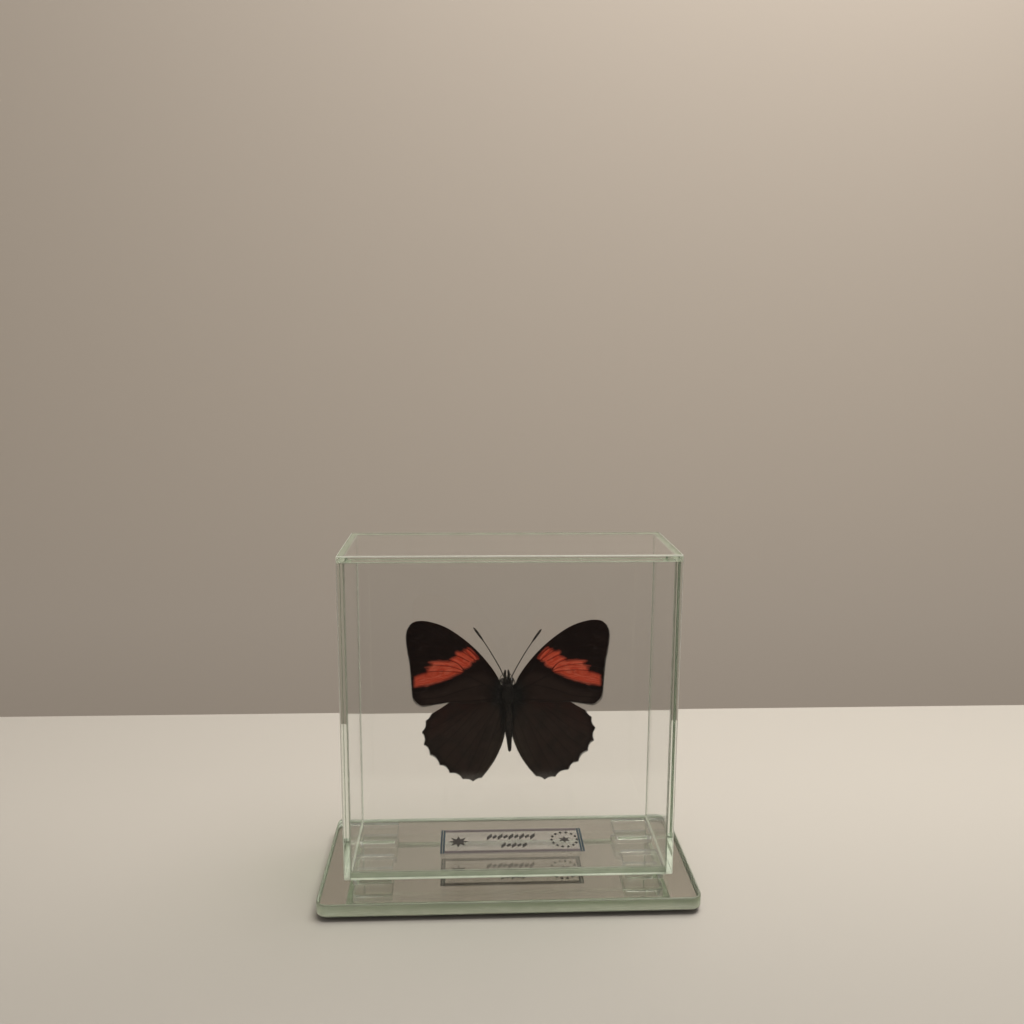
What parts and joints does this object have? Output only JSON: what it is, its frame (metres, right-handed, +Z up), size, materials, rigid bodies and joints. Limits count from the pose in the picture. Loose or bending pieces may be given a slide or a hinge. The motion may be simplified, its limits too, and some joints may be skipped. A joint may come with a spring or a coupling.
{
  "type": "butterfly in glass display case",
  "caption": "Mounted butterfly with spread wings inside a sealed rectangular glass case, held on clear pads over a mirror-glass base.",
  "frame": {"origin": "middle of the base, on the surface the feet stand on", "axes": "+Z up, +X to the right as seen from the front along the base's long side, front faces -Y"},
  "size_m": [0.115, 0.053, 0.1081],
  "materials": {
    "mirror": "4 mm glass silvered on its underside, polished green edges",
    "foot": "clear silicone bumper",
    "pad": "clear polished square pad",
    "case_glass": "clear float glass, polished green edges",
    "label": "clear film with a printed border",
    "peg": "clear polished rod",
    "body": "black hair and scales, matt",
    "forewing": "fine matt scales, black-brown with a salmon-red band",
    "hindwing": "fine matt scales, warm dark grey-brown"
  },
  "bodies": {
    "root": {"mirror_base": "mirror", "foot_front_left": "foot", "foot_front_right": "foot", "foot_rear_left": "foot", "foot_rear_right": "foot", "pad_front_left": "pad", "pad_front_right": "pad", "pad_rear_left": "pad", "pad_rear_right": "pad", "pane_top": "case_glass", "pane_bottom": "case_glass", "pane_left": "case_glass", "pane_right": "case_glass", "pane_front": "case_glass", "pane_rear": "case_glass", "label_film": "label", "support_peg": "peg", "butterfly_body": "body", "antenna_left": "body", "antenna_right": "body", "forewing_left": "forewing", "forewing_right": "forewing", "hindwing_left": "hindwing", "hindwing_right": "hindwing"}
  },
  "joints": []
}
